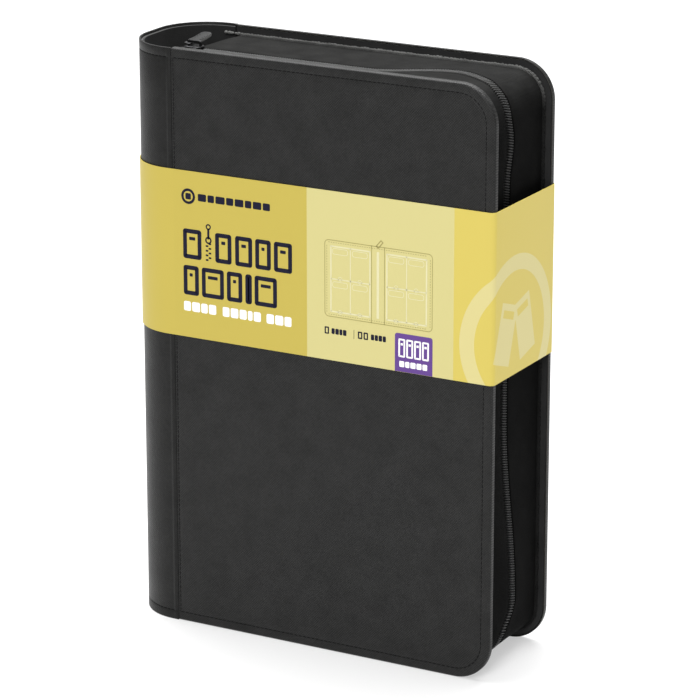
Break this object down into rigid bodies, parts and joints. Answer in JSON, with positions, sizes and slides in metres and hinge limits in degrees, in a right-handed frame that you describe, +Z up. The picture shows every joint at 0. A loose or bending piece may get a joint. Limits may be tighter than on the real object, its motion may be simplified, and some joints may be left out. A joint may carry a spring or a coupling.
{
  "type": "trading card binder",
  "caption": "Zip-up folio binder for graded trading card slabs, with a rounded spine, hinged covers, fanned pocket pages and a paperboard belly band.",
  "frame": {"origin": "middle of the footprint of the closed binder, on the surface that it stands on", "axes": "+Z up along the cover's height, +X from the spine to the fore-edge, -Y out of the front cover"},
  "size_m": [0.2374, 0.0754, 0.34],
  "materials": {
    "cover_leatherette": "fine crosshatch grain, satin",
    "spine_leatherette": "smooth matte grain",
    "lining_cloth": "plain woven nylon",
    "gusset_cloth": "matte coated cloth",
    "binding_tape": "folded woven tape",
    "zip_tape": "woven zip tape",
    "zip_coil": "moulded nylon coil",
    "black_metal": "black enamel",
    "pull_leather": "smooth grain, cut edges",
    "greyboard": "pressed greyboard",
    "core_sheet": "flexible plastic sheet",
    "page_sheet": "black textured plastic sheet",
    "pocket_film": "clear film",
    "band_paper": "printed coated paperboard"
  },
  "bodies": {
    "rear": {"rear_skin": "cover_leatherette", "rear_board": "greyboard", "rear_lining": "lining_cloth", "rear_gusset": "gusset_cloth", "rear_gusset_binding": "binding_tape", "rear_zip_tape": "zip_tape", "rear_zip_coil": "zip_coil", "rear_zip_stops": "black_metal", "band_rear_panel": "band_paper"},
    "spine": {"spine_skin": "spine_leatherette", "spine_core": "core_sheet", "spine_liner": "spine_leatherette", "page_binding": "lining_cloth", "band_spine_panel": "band_paper"},
    "front": {"front_skin": "cover_leatherette", "front_board": "greyboard", "front_lining": "lining_cloth", "front_gusset": "gusset_cloth", "front_gusset_binding": "binding_tape", "front_zip_tape": "zip_tape", "front_zip_coil": "zip_coil", "front_zip_stops": "black_metal", "band_front_panel": "band_paper"},
    "page_01": {"page_01_sheet": "page_sheet", "page_01_pockets": "pocket_film"},
    "page_02": {"page_02_sheet": "page_sheet", "page_02_pockets": "pocket_film"},
    "page_03": {"page_03_sheet": "page_sheet", "page_03_pockets": "pocket_film"},
    "page_04": {"page_04_sheet": "page_sheet", "page_04_pockets": "pocket_film"},
    "page_05": {"page_05_sheet": "page_sheet", "page_05_pockets": "pocket_film"},
    "page_06": {"page_06_sheet": "page_sheet", "page_06_pockets": "pocket_film"},
    "page_07": {"page_07_sheet": "page_sheet", "page_07_pockets": "pocket_film"},
    "page_08": {"page_08_sheet": "page_sheet", "page_08_pockets": "pocket_film"},
    "page_09": {"page_09_sheet": "page_sheet", "page_09_pockets": "pocket_film"},
    "page_10": {"page_10_sheet": "page_sheet", "page_10_pockets": "pocket_film"},
    "slider": {"zip_slider": "black_metal", "slider_bail": "black_metal"},
    "link": {"pull_link": "black_metal"},
    "tab": {"pull_tab": "pull_leather"}
  },
  "joints": [
    {"name": "spine_hinge", "type": "hinge", "parent": "rear", "child": "spine", "pos_m": [-0.084, 0.037, 0], "axis": [0, 0, -1], "range_deg": [0, 90]},
    {"name": "front_hinge", "type": "hinge", "parent": "spine", "child": "front", "pos_m": [-0.084, -0.037, 0], "axis": [0, 0, -1], "range_deg": [0, 90]},
    {"name": "page_01_hinge", "type": "hinge", "parent": "spine", "child": "page_01", "pos_m": [-0.08, -0.0265, 0], "axis": [0, 0, -1], "range_deg": [0, 73.65]},
    {"name": "page_02_hinge", "type": "hinge", "parent": "spine", "child": "page_02", "pos_m": [-0.08, -0.02, 0], "axis": [0, 0, -1], "range_deg": [0, 57.28]},
    {"name": "page_03_hinge", "type": "hinge", "parent": "spine", "child": "page_03", "pos_m": [-0.08, -0.0135, 0], "axis": [0, 0, -1], "range_deg": [0, 40.92]},
    {"name": "page_04_hinge", "type": "hinge", "parent": "spine", "child": "page_04", "pos_m": [-0.08, -0.007, 0], "axis": [0, 0, -1], "range_deg": [0, 24.55]},
    {"name": "page_05_hinge", "type": "hinge", "parent": "spine", "child": "page_05", "pos_m": [-0.08, -0.0005, 0], "axis": [0, 0, -1], "range_deg": [0, 8.19]},
    {"name": "page_06_hinge", "type": "hinge", "parent": "spine", "child": "page_06", "pos_m": [-0.08, 0.006, 0], "axis": [0, 0, -1], "range_deg": [-8.19, 0]},
    {"name": "page_07_hinge", "type": "hinge", "parent": "spine", "child": "page_07", "pos_m": [-0.08, 0.0125, 0], "axis": [0, 0, -1], "range_deg": [-24.55, 0]},
    {"name": "page_08_hinge", "type": "hinge", "parent": "spine", "child": "page_08", "pos_m": [-0.08, 0.019, 0], "axis": [0, 0, -1], "range_deg": [-40.92, 0]},
    {"name": "page_09_hinge", "type": "hinge", "parent": "spine", "child": "page_09", "pos_m": [-0.08, 0.0255, 0], "axis": [0, 0, -1], "range_deg": [-57.28, 0]},
    {"name": "page_10_hinge", "type": "hinge", "parent": "spine", "child": "page_10", "pos_m": [-0.08, 0.032, 0], "axis": [0, 0, -1], "range_deg": [-73.65, 0]},
    {"name": "slider_travel", "type": "slide", "parent": "rear", "child": "slider", "axis": [1, 0, 0], "range_m": [0, 0.11]},
    {"name": "pull_swing", "type": "hinge", "parent": "slider", "child": "link", "pos_m": [-0.0879, -0.011, 0.3374], "axis": [0, 0, 1], "range_deg": [-40, 90]},
    {"name": "pull_lift", "type": "hinge", "parent": "link", "child": "tab", "pos_m": [-0.0879, -0.005, 0.3374], "axis": [1, 0, 0], "range_deg": [0, 90]}
  ],
  "couplings": [
    {"joint": "front_hinge", "follows": "spine_hinge", "ratio": 1},
    {"joint": "page_01_hinge", "follows": "spine_hinge", "ratio": 0.81818},
    {"joint": "page_02_hinge", "follows": "spine_hinge", "ratio": 0.63636},
    {"joint": "page_03_hinge", "follows": "spine_hinge", "ratio": 0.45454},
    {"joint": "page_04_hinge", "follows": "spine_hinge", "ratio": 0.27273},
    {"joint": "page_05_hinge", "follows": "spine_hinge", "ratio": 0.090909},
    {"joint": "page_06_hinge", "follows": "spine_hinge", "ratio": -0.090909},
    {"joint": "page_07_hinge", "follows": "spine_hinge", "ratio": -0.27273},
    {"joint": "page_08_hinge", "follows": "spine_hinge", "ratio": -0.45454},
    {"joint": "page_09_hinge", "follows": "spine_hinge", "ratio": -0.63636},
    {"joint": "page_10_hinge", "follows": "spine_hinge", "ratio": -0.81818}
  ]
}
